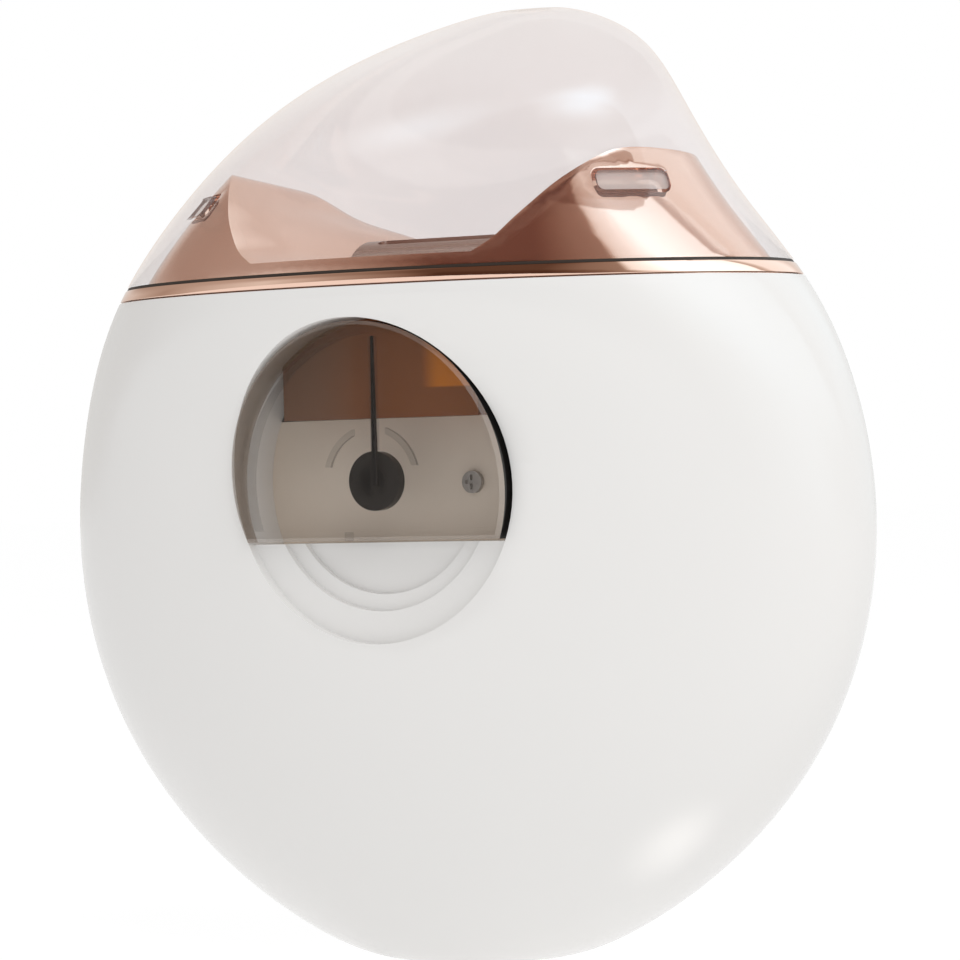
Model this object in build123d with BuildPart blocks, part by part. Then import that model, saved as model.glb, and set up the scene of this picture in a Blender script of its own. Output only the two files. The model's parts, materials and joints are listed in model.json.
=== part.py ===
from build123d import *
from math import cos, hypot, radians, sin, tan
import os

# Electric nail clipper, in millimetres. +Z is up and the origin is the centre of the foot.
# The waste window faces -Y, the power button faces +Y, and the shafts lie along X.

os.makedirs("parts", exist_ok=True)

# Outer form: foot and belly
foot_half_width = 6.0
foot_half_depth = 5.2
belly_height = 35.0
belly_half_width = 41.2
belly_half_depth = 15.4
belly_fullness = 1.7

# Outer form above the belly: height, half width, half depth and forward lean of each section
upper_sections = [
    (48.5, 40.3, 17.0, 0.0),
    (60.0, 35.5, 18.8, -0.4),
    (68.5, 28.9, 17.1, -0.3),
    (77.5, 21.6, 12.4, 3.5),
    (84.0, 14.3, 6.7, 10.0),
    (87.0, 7.7, 3.3, 13.8),
    (88.0, 3.7, 1.7, 15.2),
]

# Shells, ring and cap
shell_wall = 1.8
rim_height = 61.0
parting_y = 6.0
ring_thickness = 1.2
ring_depth = 3.2
cap_wall = 1.1
cap_gap = 0.5
seal_thickness = 0.25
seal_margin = 0.1
cap_seam = 0.05
ring_groove_height = 0.12
ring_groove_depth = 0.8
lug_width = 6.6
lug_height = 1.8
lug_angle = 43.0
lug_x = 23.0
lug_y = 7.4
lug_rise = 7.4
lug_clearance = 0.15
lug_pocket_margin = 0.25
lug_pocket_depth = 0.8

# Head trim with its two horns and the finger valley between them
trim_wall = 1.2
valley_rise = 2.6

# Valley outlines at its two ends: distance from the middle, and height above the valley's floor
front_outline = [(11.8, 0.0), (13.6, 1.1), (15.0, 2.6), (16.4, 4.4), (17.8, 6.8), (19.4, 9.2), (22.0, 10.2)]
back_outline = [(6.0, 0.0), (9.2, 2.0), (12.0, 3.3), (15.0, 4.2), (17.8, 5.2), (20.2, 6.8), (23.4, 7.6)]
outline_end_y = 18.0

# Cutting drum and its guard
drum_axis_drop = 0.8
guard_radius = 5.8
guard_thickness = 0.5
guard_half_length = 8.6
guard_flange = 2.2
guard_opening_gap = 0.6
guard_slot_half_length = 7.0
guard_slot_width = 1.6
guard_slot_offset = 1.5
drum_clearance = 0.3
drum_half_length = 8.2
drum_flutes = 4
flute_radius = 1.6
flute_offset = 0.5
shaft_radius = 1.0
running_clearance = 0.05
end_clearance = 0.4

# Head frame
deck_thickness = 2.0
deck_edge_gap = 0.4
plate_inner_x = 10.4
plate_thickness = 2.0
plate_half_depth = 7.5
plate_neck_half_depth = 3.5
plate_foot_margin = 1.7
left_plate_drop = 9.0
plate_neck_rise = 2.0

# Gears, all on one plane, and the motor
gear_module = 0.5
gear_addendum = 0.85 * gear_module
gear_dedendum = 1.25 * gear_module
tooth_root_half = 0.95 * gear_module
tooth_tip_half = 0.36 * gear_module
tooth_sink = 0.3 * gear_module
gear_plane_x = 14.5
gear_width = 3.0
drum_gear_teeth = 12
idler_teeth = 30
pinion_teeth = 8
gear_opening_gap = 0.6
shaft_end = 0.7
shaft_gap = 0.5
clip_thickness = 0.4
clip_radius = 1.9
spacer_radius = 1.6
bush_radius = 1.7
motor_radius = 6.0
motor_length = 20.0
motor_cap_thickness = 2.0
motor_shaft_radius = 0.75
motor_shaft_hidden = 8.4
motor_bore_depth = 10.0
motor_can_round = 0.4
motor_boss_radius = 2.6
motor_boss_height = 0.8
motor_screw_offset = 4.0
motor_screw_length = 4.0

# Waste chamber, chute and door
window_radius = 14.5
window_deck_gap = 0.7
collar_wall = 1.6
chamber_depth_y = 9.0
panel_thickness = 1.0
chute_half_width = 10.2
chute_wall = 0.8
chute_face_y = 13.4
chute_mouth_rise = 5.6
chute_front_y = 6.4
chute_ramp_rise = 4.4
door_gap = 0.3
door_face_y = 15.7
door_tilt = 7.5
door_lens = 0.5
door_skirt_wall = 1.0
door_skirt_y = 13.7
door_edge_drop = 5.3
door_shelf_gap = 0.2
door_edge_chamfer = 0.35
recess_floor_y = 12.4
recess_floor_wall = 1.2
recess_step = 0.7
recess_ledges = (0.0, 2.9, 4.4)
rib_width = 1.8
rib_reach = 1.5
fin_tip_gap = 0.3
fin_foot_drop = 0.5
fin_foot_width = 0.6
fin_tip_width = 0.2
fin_reach = 0.4
fin_offset = 0.35
fin_clearance = 0.1
hub_radius = 2.65
hub_thickness = 0.9
hub_stem_radius = 1.4
hub_stem_length = 0.55
arch_radius = 4.7
arch_width = 0.55
arch_rise = 0.35
arch_foot_rise = 1.3
arch_half_gap = 1.6
notch_width = 5.8
notch_height = 0.8

# Power button, board, socket and battery
button_height = 27.0
button_radius = 6.0
button_gap = 0.25
button_proud = 0.1
button_back_gap = 0.2
button_travel = 0.5
button_flange = 0.8
button_flange_thickness = 1.0
button_stem_radius = 1.6
bezel_wall = 1.1
bezel_proud = 0.3
bezel_flange = 1.2
bezel_flange_y = 10.4
bezel_flange_thickness = 0.8
board_thickness = 1.2
board_half_width = 16.5
board_foot_height = 8.0
board_top_height = 31.5
board_tail_half_width = 7.0
board_tail_height = 2.8
socket_width = 8.94
socket_depth = 3.26
socket_length = 7.3
socket_inset = 0.6
socket_wall = 0.3
socket_hole_gap = 0.2
tongue_width = 6.7
tongue_thickness = 0.7
switch_size = 6.0
switch_body = 3.1
switch_stem = 0.6
switch_stem_radius = 1.7
switch_stem_hidden = 0.7
switch_stem_gap = 0.05
battery_half_width = 12.0
battery_thickness = 5.6
battery_foot_height = 11.0
battery_top_height = 30.5
battery_corner = 1.2
pad_thickness = 0.4
light_height = 14.0
light_radius = 0.9
light_gap = 0.1
led_width = 1.6
led_thickness = 0.8

# Screws; the slots in their heads are given as shares of the head's radius
screw_slot_length = 1.3
screw_slot_width = 0.3
screw_end_gap = 0.3
screw_shank = 0.8
screw_head = 1.5
screw_head_height = 1.0
small_screw_shank = 0.5
small_screw_head = 1.0
small_screw_head_height = 0.5
screw_boss_radius = 2.2
head_screw_x = 14.5
head_screw_y = 7.5
head_screw_length = 5.0
guard_screw_x = 6.5
rear_boss_x = 27.0
rear_boss_y = -4.0
front_boss_x = 19.5
front_boss_y = 9.2
shell_boss_height = 9.0
board_screw_x = 14.5
board_screw_heights = (11.0, 28.5)
chamber_screw_x = 7.0
chamber_screw_drop = 0.3
screw_tab_width = 5.0
screw_tab_height = 3.6
screw_tab_depth = 1.7
wire_radius = 0.45
wire_bend = 0.75

# Places that follow from the sizes above
ring_top = rim_height + ring_thickness
cap_foot = ring_top + seal_thickness + cap_seam
trim_inset = cap_wall + cap_gap
deck_foot = rim_height - deck_thickness
valley_floor = rim_height + valley_rise
horn_height = valley_floor + front_outline[-1][1]
lug_height_z = ring_top + lug_rise
drum_axis_height = rim_height - drum_axis_drop
plate_top_height = drum_axis_height + plate_neck_rise
left_plate_foot_height = deck_foot - left_plate_drop
plate_outer_x = plate_inner_x + plate_thickness
gear_outer_x = gear_plane_x + gear_width
shaft_reach = gear_outer_x + shaft_end + shaft_gap - plate_outer_x
gear_opening_half = gear_module * drum_gear_teeth / 2 + gear_addendum + gear_opening_gap
clip_opening_half = clip_radius + shaft_gap
drum_radius = guard_radius - guard_thickness - drum_clearance
guard_cut = 2 * (guard_radius + guard_flange)
idler_height = drum_axis_height - gear_module * (drum_gear_teeth + idler_teeth) / 2
motor_height = idler_height - gear_module * (idler_teeth + pinion_teeth) / 2
plate_foot_height = motor_height - motor_radius - plate_foot_margin
window_height = deck_foot - window_radius - window_deck_gap
chute_mouth_height = window_height + chute_mouth_rise
chute_front_height = chute_mouth_height + chute_ramp_rise
door_edge_height = window_height - door_edge_drop
chamber_screw_height = window_height - chamber_screw_drop
board_face_y = socket_depth / 2
board_back_y = board_face_y + board_thickness
battery_face_y = board_back_y + pad_thickness
door_radius = window_radius - door_gap
collar_radius = window_radius + collar_wall
window_cut = 2 * collar_radius
lens_back_y = door_face_y - door_lens
fin_foot_height = window_height - fin_foot_drop
rib_foot_height = window_height + hub_radius + fin_clearance
fin_top_height = window_height + door_radius - door_skirt_wall - fin_tip_gap
shelf_top = door_edge_height - door_shelf_gap
bezel_radius = button_radius + button_gap + bezel_wall
switch_face_y = -board_face_y + switch_body + switch_stem


def form_sections():
    """Height, half width, half depth and lean of each section of the outer form."""
    sections = []
    for share in (0.0, 0.1, 0.3, 0.62, 1.0):
        swell = (1 - (1 - share) ** belly_fullness) ** (1 / belly_fullness)
        half_width = foot_half_width + (belly_half_width - foot_half_width) * swell
        half_depth = foot_half_depth + (belly_half_depth - foot_half_depth) * swell
        sections.append((share * belly_height, half_width, half_depth, 0.0))
    return sections + upper_sections


def form(inset):
    """The outer form with every section moved inwards by inset, square to its wall."""
    sections = form_sections()
    with BuildPart() as solid:
        for index, (height, half_width, half_depth, lean) in enumerate(sections):
            below = sections[max(index - 1, 0)]
            above = sections[min(index + 1, len(sections) - 1)]
            rise = above[0] - below[0]
            spread = (above[1] + above[2] - below[1] - below[2]) / 2
            run = hypot(rise, spread)
            inward = inset * rise / run
            upward = inset * spread / run
            with BuildSketch(Plane.XY.offset(height + upward)):
                with Locations((0, lean)):
                    Ellipse(half_width - inward, half_depth - inward)
        loft()
    return solid.part


def under_valley(drop, spread):
    """Everything below the finger valley, its outlines lowered by drop and widened by spread."""
    with BuildPart() as solid:
        for outline, end_y in ((front_outline, -outline_end_y), (back_outline, outline_end_y)):
            wall_points = [(x + spread, valley_floor + rise - drop) for x, rise in outline]
            foot, edge = wall_points[0], wall_points[-1]
            with BuildSketch(Plane.XZ.offset(-end_y)):
                with BuildLine():
                    Line((0, deck_foot), (0, foot[1]))
                    Line((0, foot[1]), foot)
                    Spline(*wall_points, tangents=[(1, 0.6), (1, 0)])
                    Line(edge, (belly_half_width, edge[1]))
                    Line((belly_half_width, edge[1]), (belly_half_width, deck_foot))
                    Line((belly_half_width, deck_foot), (0, deck_foot))
                make_face()
        loft(ruled=True)
        mirror(about=Plane.YZ)
    return solid.part


def screws(places, direction, shank_radius, head_radius, head_height, length):
    """Cap screws whose heads rest on the given places; the shanks run along direction."""
    with BuildPart() as solid:
        for place in places:
            seat = Plane(origin=place, z_dir=direction)
            with BuildSketch(seat):
                Circle(shank_radius)
            extrude(amount=length)
            with BuildSketch(seat):
                Circle(head_radius)
            extrude(amount=-head_height)
            with BuildSketch(seat.offset(-head_height)):
                Rectangle(head_radius * screw_slot_length, head_radius * screw_slot_width)
                Rectangle(head_radius * screw_slot_width, head_radius * screw_slot_length)
            extrude(amount=head_height / 2, mode=Mode.SUBTRACT)
    return solid.part


def gear(teeth, axis_height, bore_radius):
    """A spur gear about X with straight-sided teeth, one of which points along +Y."""
    pitch_radius = gear_module * teeth / 2
    root_radius = pitch_radius - gear_dedendum
    tip_radius = pitch_radius + gear_addendum
    with BuildPart() as wheel:
        with BuildSketch(Plane.YZ.offset(gear_plane_x)):
            with Locations((0, axis_height)):
                Circle(root_radius)
                with PolarLocations(0, teeth):
                    Polygon(
                        (root_radius - tooth_sink, tooth_root_half),
                        (root_radius - tooth_sink, -tooth_root_half),
                        (tip_radius, -tooth_tip_half),
                        (tip_radius, tooth_tip_half),
                        align=None,
                    )
                Circle(bore_radius, mode=Mode.SUBTRACT)
        extrude(amount=gear_width)
    return wheel.part


# Places of the screws
head_screw_places = [
    (x, y) for x in (-head_screw_x, head_screw_x) for y in (-head_screw_y, head_screw_y)
]
rear_boss_places = [(-rear_boss_x, rear_boss_y), (rear_boss_x, rear_boss_y)]
front_boss_places = [(-front_boss_x, front_boss_y), (front_boss_x, front_boss_y)]
deck_screw_places = rear_boss_places + front_boss_places
guard_screw_y = guard_radius + guard_flange / 2
guard_screw_places = [
    (x, y) for x in (-guard_screw_x, guard_screw_x) for y in (-guard_screw_y, guard_screw_y)
]
board_screw_places = [(x, z) for x in (-board_screw_x, board_screw_x) for z in board_screw_heights]
motor_screw_places = [(-motor_screw_offset, motor_height), (motor_screw_offset, motor_height)]

outer_form = form(0)
shell_cavity = form(shell_wall)
half_wall_form = form(shell_wall / 2)
under_trim = under_valley(0, 0)


# Collar round the waste window, kept inside the shell's outer surface
with BuildPart() as collar_blank:
    with BuildSketch(Plane.XZ.offset(chamber_depth_y)):
        with Locations((0, window_height)):
            Circle(collar_radius)
    extrude(amount=belly_half_depth)
    add(half_wall_form, mode=Mode.INTERSECT)
    split(bisect_by=Plane.XY.offset(deck_foot), keep=Keep.BOTTOM)

# Bosses that the head frame is screwed down to, joined to the shell wall beside them
with BuildPart() as rear_bosses:
    for boss_x, boss_y in rear_boss_places:
        outwards = Align.MIN if boss_x > 0 else Align.MAX
        with BuildSketch(Plane.XY.offset(deck_foot)):
            with Locations((boss_x, boss_y)):
                Circle(screw_boss_radius)
                Rectangle(belly_half_width, 2 * screw_boss_radius, align=(outwards, Align.CENTER))
                Circle(screw_shank, mode=Mode.SUBTRACT)
        extrude(amount=-shell_boss_height)
    add(half_wall_form, mode=Mode.INTERSECT)

with BuildPart() as front_bosses:
    for boss_x, boss_y in front_boss_places:
        with BuildSketch(Plane.XY.offset(deck_foot)):
            with Locations((boss_x, boss_y)):
                Circle(screw_boss_radius)
                Rectangle(2 * screw_boss_radius, belly_half_depth, align=(Align.CENTER, Align.MIN))
                Circle(screw_shank, mode=Mode.SUBTRACT)
        extrude(amount=-shell_boss_height)
    add(half_wall_form, mode=Mode.INTERSECT)

# Posts that carry the circuit board
with BuildPart() as board_posts:
    with BuildSketch(Plane.XZ.offset(board_back_y)):
        with Locations(*board_screw_places):
            Circle(screw_boss_radius)
            Circle(screw_shank, mode=Mode.SUBTRACT)
    extrude(amount=belly_half_depth)
    add(half_wall_form, mode=Mode.INTERSECT)

# Rear shell, with the window, the thumb recess below it and the hole for the charging socket
with BuildPart() as rear_shell:
    add(outer_form)
    add(shell_cavity, mode=Mode.SUBTRACT)
    split(bisect_by=Plane.XY.offset(rim_height), keep=Keep.BOTTOM)
    split(bisect_by=Plane.XZ.offset(-parting_y), keep=Keep.TOP)
    add(collar_blank.part)
    add(rear_bosses.part)
    add(board_posts.part)
    with BuildSketch(Plane.XZ.offset(chamber_depth_y)):
        with Locations((0, window_height)):
            Circle(window_radius)
        with Locations((0, shelf_top)):
            Rectangle(window_cut, window_cut, align=(Align.CENTER, Align.MAX), mode=Mode.SUBTRACT)
    extrude(amount=belly_half_depth, mode=Mode.SUBTRACT)
    for step, ledge in enumerate(recess_ledges):
        with BuildSketch(Plane.XZ.offset(recess_floor_y + (2 - step) * recess_step)):
            with Locations((0, window_height)):
                Circle(window_radius - ledge)
        extrude(amount=belly_half_depth, mode=Mode.SUBTRACT)
    with BuildSketch(Plane.XZ.offset(chamber_depth_y)):
        with Locations((0, window_height)):
            Circle(window_radius)
        with Locations((0, shelf_top - recess_floor_wall)):
            Rectangle(window_cut, window_cut, align=(Align.CENTER, Align.MIN), mode=Mode.SUBTRACT)
    extrude(amount=recess_floor_y - recess_floor_wall - chamber_depth_y, mode=Mode.SUBTRACT)
    with BuildSketch(Plane.XZ.offset(chamber_depth_y)):
        with Locations((0, chute_mouth_height - door_gap)):
            Rectangle(2 * (chute_half_width + door_gap), belly_height, align=(Align.CENTER, Align.MIN))
    extrude(amount=chute_face_y + door_gap - chamber_depth_y, mode=Mode.SUBTRACT)
    with BuildSketch(Plane.XY):
        SlotOverall(socket_width + 2 * socket_hole_gap, socket_depth + 2 * socket_hole_gap)
    extrude(amount=board_foot_height / 2, mode=Mode.SUBTRACT)
rear_shell.part.label = "rear_shell"
export_step(rear_shell.part, "parts/rear_shell.step")

# Front shell, with the holes for the button's bezel and the status light
with BuildPart() as front_shell:
    add(outer_form)
    add(shell_cavity, mode=Mode.SUBTRACT)
    split(bisect_by=Plane.XY.offset(rim_height), keep=Keep.BOTTOM)
    split(bisect_by=Plane.XZ.offset(-parting_y), keep=Keep.BOTTOM)
    add(front_bosses.part)
    with BuildSketch(Plane.XZ.offset(-parting_y)):
        with Locations((0, button_height)):
            Circle(bezel_radius)
        with Locations((0, light_height)):
            Circle(light_radius + light_gap)
    extrude(amount=-belly_half_depth, mode=Mode.SUBTRACT)
front_shell.part.label = "front_shell"
export_step(front_shell.part, "parts/front_shell.step")

# Trim ring between the shells and the head, with a fine groove round its foot
with BuildPart() as trim_ring:
    add(outer_form)
    split(bisect_by=Plane.XY.offset(rim_height + ring_groove_height), keep=Keep.TOP)
    add(form(ring_groove_depth))
    split(bisect_by=Plane.XY.offset(rim_height), keep=Keep.TOP)
    split(bisect_by=Plane.XY.offset(ring_top), keep=Keep.BOTTOM)
    add(form(ring_depth), mode=Mode.SUBTRACT)
trim_ring.part.label = "trim_ring"
export_step(trim_ring.part, "parts/trim_ring.step")

# Seal on the ring, on which the cap's foot stands
with BuildPart() as cap_seal:
    add(form(seal_margin))
    add(form(trim_inset - seal_margin), mode=Mode.SUBTRACT)
    split(bisect_by=Plane.XY.offset(ring_top), keep=Keep.TOP)
    split(bisect_by=Plane.XY.offset(ring_top + seal_thickness), keep=Keep.BOTTOM)
cap_seal.part.label = "cap_seal"
export_step(cap_seal.part, "parts/cap_seal.step")


def lug_plane(side):
    """Plane across a latch lug's middle line at y = 0, facing outwards; side is -1 or 1."""
    outward = (side * sin(radians(lug_angle)), -cos(radians(lug_angle)), 0)
    along = (cos(radians(lug_angle)), side * sin(radians(lug_angle)), 0)
    start_x = lug_x - lug_y * tan(radians(lug_angle))
    return Plane(origin=(side * start_x, 0, lug_height_z), x_dir=along, z_dir=outward)


# Latch lugs, standing in from the cap's wall towards the pockets in the horns
with BuildPart() as lug_blank:
    for side in (-1, 1):
        with BuildSketch(lug_plane(side)):
            RectangleRounded(lug_width, lug_height, lug_height / 3)
        extrude(amount=belly_half_width)
    add(form(cap_wall / 2), mode=Mode.INTERSECT)
    add(form(trim_inset - lug_clearance), mode=Mode.SUBTRACT)

# Clear cap
with BuildPart() as clear_cap:
    add(outer_form)
    add(form(cap_wall), mode=Mode.SUBTRACT)
    split(bisect_by=Plane.XY.offset(cap_foot), keep=Keep.TOP)
    add(lug_blank.part)
clear_cap.part.label = "clear_cap"
export_step(clear_cap.part, "parts/clear_cap.step")

# Hollow under the head trim
with BuildPart() as trim_hollow:
    add(form(trim_inset + trim_wall))
    add(under_valley(trim_wall, trim_wall), mode=Mode.INTERSECT)

# Pockets in the horns for the cap's latch lugs
with BuildPart() as lug_pockets:
    for side in (-1, 1):
        with BuildSketch(lug_plane(side)):
            pocket_size = (lug_width + 2 * lug_pocket_margin, lug_height + 2 * lug_pocket_margin)
            RectangleRounded(*pocket_size, pocket_size[1] / 3)
        extrude(amount=belly_half_width)
    add(form(trim_inset + lug_pocket_depth), mode=Mode.SUBTRACT)

# Screw bosses under the head trim
with BuildPart() as trim_bosses:
    with BuildSketch(Plane.XY.offset(rim_height)):
        with Locations(*head_screw_places):
            Circle(screw_boss_radius)
            Circle(screw_shank, mode=Mode.SUBTRACT)
    extrude(amount=horn_height - rim_height)
    add(under_valley(trim_wall / 2, trim_wall / 2), mode=Mode.INTERSECT)

# Head trim: the saddle with the finger valley, two horns and a pocket in each for the cap's lug
with BuildPart() as head_trim:
    add(form(trim_inset))
    add(under_trim, mode=Mode.INTERSECT)
    split(bisect_by=Plane.XY.offset(ring_top), keep=Keep.TOP)
    add(trim_hollow.part, mode=Mode.SUBTRACT)
    add(trim_bosses.part)
    with BuildSketch(Plane.XY.offset(ring_top)):
        Rectangle(2 * (guard_half_length + guard_opening_gap), 2 * (guard_radius + guard_opening_gap / 2))
    extrude(amount=horn_height - ring_top, mode=Mode.SUBTRACT)
    with BuildSketch(Plane.XY.offset(deck_foot)):
        with Locations(*head_screw_places):
            Circle(screw_shank)
    extrude(amount=head_screw_length + screw_end_gap, mode=Mode.SUBTRACT)
    add(lug_pockets.part, mode=Mode.SUBTRACT)
head_trim.part.label = "head_trim"
export_step(head_trim.part, "parts/head_trim.step")

# Head frame: the deck over the shells and the two plates that carry the drum, idler and motor
with BuildPart() as head_frame:
    add(form(shell_wall + deck_edge_gap))
    split(bisect_by=Plane.XY.offset(deck_foot), keep=Keep.TOP)
    split(bisect_by=Plane.XY.offset(rim_height), keep=Keep.BOTTOM)
    with BuildSketch(Plane.XY.offset(deck_foot)):
        Rectangle(2 * plate_inner_x, 2 * (drum_radius + drum_clearance))
        with Locations((plate_outer_x, 0)):
            Rectangle(shaft_reach, 2 * gear_opening_half, align=(Align.MIN, Align.CENTER))
        with Locations((-plate_outer_x, 0)):
            Rectangle(shaft_end + shaft_gap, 2 * clip_opening_half, align=(Align.MAX, Align.CENTER))
        with Locations(*deck_screw_places, *head_screw_places):
            Circle(screw_shank)
        with Locations(*guard_screw_places):
            Circle(small_screw_shank)
    extrude(amount=deck_thickness, mode=Mode.SUBTRACT)
    for side, foot_height in ((-1, left_plate_foot_height), (1, plate_foot_height)):
        with BuildSketch(Plane.YZ.offset(side * (plate_inner_x + plate_thickness / 2))):
            with Locations((0, foot_height)):
                Rectangle(2 * plate_half_depth, deck_foot - foot_height, align=(Align.CENTER, Align.MIN))
            with Locations((0, deck_foot)):
                neck_height = plate_top_height - deck_foot
                Rectangle(2 * plate_neck_half_depth, neck_height, align=(Align.CENTER, Align.MIN))
        extrude(amount=plate_thickness / 2, both=True)
    with BuildSketch(Plane.XY.offset(chamber_screw_height)):
        with Locations((plate_inner_x, -chamber_depth_y + panel_thickness)):
            Rectangle(screw_tab_width, screw_tab_depth, align=(Align.MAX, Align.MIN))
    extrude(amount=screw_tab_height / 2, both=True)
    with BuildSketch(Plane.YZ):
        with Locations((0, drum_axis_height)):
            Circle(bush_radius)
    extrude(amount=plate_outer_x, both=True, mode=Mode.SUBTRACT)
    with BuildSketch(Plane.YZ):
        with Locations((0, idler_height)):
            Circle(shaft_radius)
        with Locations((0, motor_height)):
            Circle(motor_boss_radius)
        with Locations(*motor_screw_places):
            Circle(screw_shank)
    extrude(amount=plate_outer_x, mode=Mode.SUBTRACT)
    with BuildSketch(Plane.XZ):
        with Locations((chamber_screw_x, chamber_screw_height)):
            Circle(small_screw_shank)
    extrude(amount=chamber_depth_y, mode=Mode.SUBTRACT)
head_frame.part.label = "head_frame"
export_step(head_frame.part, "parts/head_frame.step")

# Cutter guard: a slotted steel arch over the drum, screwed to the deck by its flanges
with BuildPart() as cutter_guard:
    with BuildSketch(Plane.YZ):
        with Locations((0, drum_axis_height)):
            Circle(guard_radius)
        with Locations((0, rim_height)):
            Rectangle(2 * (guard_radius + guard_flange), guard_thickness, align=(Align.CENTER, Align.MIN))
        with Locations((0, drum_axis_height)):
            Circle(guard_radius - guard_thickness, mode=Mode.SUBTRACT)
        with Locations((0, rim_height)):
            Rectangle(guard_cut, guard_cut, align=(Align.CENTER, Align.MAX), mode=Mode.SUBTRACT)
    extrude(amount=guard_half_length, both=True)
    with BuildSketch(Plane.XY.offset(drum_axis_height + guard_radius / 2)):
        with Locations((0, -guard_slot_offset), (0, guard_slot_offset)):
            SlotOverall(2 * guard_slot_half_length, guard_slot_width)
    extrude(amount=guard_radius, mode=Mode.SUBTRACT)
    with BuildSketch(Plane.XY.offset(rim_height)):
        with Locations(*guard_screw_places):
            Circle(small_screw_shank)
    extrude(amount=guard_thickness, mode=Mode.SUBTRACT)
cutter_guard.part.label = "cutter_guard"
export_step(cutter_guard.part, "parts/cutter_guard.step")

# Cutting drum: a roller whose flutes leave sharp edges along its length
with BuildPart() as cutter_drum:
    with BuildSketch(Plane.YZ):
        with Locations((0, drum_axis_height)):
            Circle(drum_radius)
            with PolarLocations(drum_radius + flute_offset, drum_flutes):
                Circle(flute_radius, mode=Mode.SUBTRACT)
            Circle(shaft_radius, mode=Mode.SUBTRACT)
    extrude(amount=drum_half_length, both=True)
cutter_drum.part.label = "cutter_drum"
export_step(cutter_drum.part, "parts/cutter_drum.step")

# Drum shaft, through both plates and the drum gear
with BuildPart() as drum_shaft:
    with BuildSketch(Plane.YZ.offset(-plate_outer_x - shaft_end)):
        with Locations((0, drum_axis_height)):
            Circle(shaft_radius)
    extrude(amount=plate_outer_x + gear_outer_x + 2 * shaft_end)
    chamfer(drum_shaft.edges().filter_by(GeomType.CIRCLE), shaft_radius / 5)
drum_shaft.part.label = "drum_shaft"
export_step(drum_shaft.part, "parts/drum_shaft.step")

# Bushes that the drum shaft turns in
with BuildPart() as drum_bushes:
    for side in (-1, 1):
        with BuildSketch(Plane.YZ.offset(side * (plate_inner_x + plate_thickness / 2))):
            with Locations((0, drum_axis_height)):
                Circle(bush_radius)
                Circle(shaft_radius + running_clearance, mode=Mode.SUBTRACT)
        extrude(amount=plate_thickness / 2, both=True)
drum_bushes.part.label = "drum_bushes"
export_step(drum_bushes.part, "parts/drum_bushes.step")

# Gear train: drum gear, idler on its pin, and the motor's pinion
drum_gear = gear(drum_gear_teeth, drum_axis_height, shaft_radius)
drum_gear.label = "drum_gear"
export_step(drum_gear, "parts/drum_gear.step")

idler_gear = gear(idler_teeth, idler_height, shaft_radius + running_clearance)
idler_gear.label = "idler_gear"
export_step(idler_gear, "parts/idler_gear.step")

motor_pinion = gear(pinion_teeth, motor_height, motor_shaft_radius)
motor_pinion.label = "motor_pinion"
export_step(motor_pinion, "parts/motor_pinion.step")

with BuildPart() as idler_pin:
    with BuildSketch(Plane.YZ.offset(plate_inner_x)):
        with Locations((0, idler_height)):
            Circle(shaft_radius)
    extrude(amount=gear_outer_x + shaft_end + clip_thickness - plate_inner_x)
idler_pin.part.label = "idler_pin"
export_step(idler_pin.part, "parts/idler_pin.step")

with BuildPart() as idler_spacer:
    with BuildSketch(Plane.YZ.offset(plate_outer_x)):
        with Locations((0, idler_height)):
            Circle(spacer_radius)
            Circle(shaft_radius, mode=Mode.SUBTRACT)
    extrude(amount=gear_plane_x - plate_outer_x - running_clearance)
idler_spacer.part.label = "idler_spacer"
export_step(idler_spacer.part, "parts/idler_spacer.step")

# Retaining clips: one on the idler's pin, one on the free end of the drum shaft
with BuildPart() as idler_clip:
    with BuildSketch(Plane.YZ.offset(gear_outer_x + running_clearance)):
        with Locations((0, idler_height)):
            Circle(clip_radius)
            Circle(shaft_radius, mode=Mode.SUBTRACT)
            with Locations((0, clip_radius)):
                Rectangle(shaft_radius, 2 * clip_radius - shaft_radius, mode=Mode.SUBTRACT)
    extrude(amount=clip_thickness)
idler_clip.part.label = "idler_clip"
export_step(idler_clip.part, "parts/idler_clip.step")

with BuildPart() as shaft_clip:
    with BuildSketch(Plane.YZ.offset(-plate_outer_x - running_clearance)):
        with Locations((0, drum_axis_height)):
            Circle(clip_radius)
            Circle(shaft_radius, mode=Mode.SUBTRACT)
            with Locations((0, clip_radius)):
                Rectangle(shaft_radius, 2 * clip_radius - shaft_radius, mode=Mode.SUBTRACT)
    extrude(amount=-clip_thickness)
shaft_clip.part.label = "shaft_clip"
export_step(shaft_clip.part, "parts/shaft_clip.step")

# Motor: can, end cap and shaft
with BuildPart() as motor_can:
    with BuildSketch(Plane.YZ.offset(plate_inner_x)):
        with Locations((0, motor_height)):
            Circle(motor_radius)
    extrude(amount=-(motor_length - motor_cap_thickness))
    fillet(motor_can.edges().filter_by(GeomType.CIRCLE), motor_can_round)
    with BuildSketch(Plane.YZ.offset(plate_inner_x)):
        with Locations((0, motor_height)):
            Circle(motor_boss_radius - running_clearance)
    extrude(amount=motor_boss_height)
    with BuildSketch(Plane.YZ.offset(plate_inner_x + motor_boss_height)):
        with Locations((0, motor_height)):
            Circle(motor_shaft_radius + running_clearance)
    extrude(amount=-motor_bore_depth, mode=Mode.SUBTRACT)
    with BuildSketch(Plane.YZ.offset(plate_inner_x)):
        with Locations(*motor_screw_places):
            Circle(screw_shank)
    extrude(amount=-motor_screw_length, mode=Mode.SUBTRACT)
motor_can.part.label = "motor_can"
export_step(motor_can.part, "parts/motor_can.step")

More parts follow.
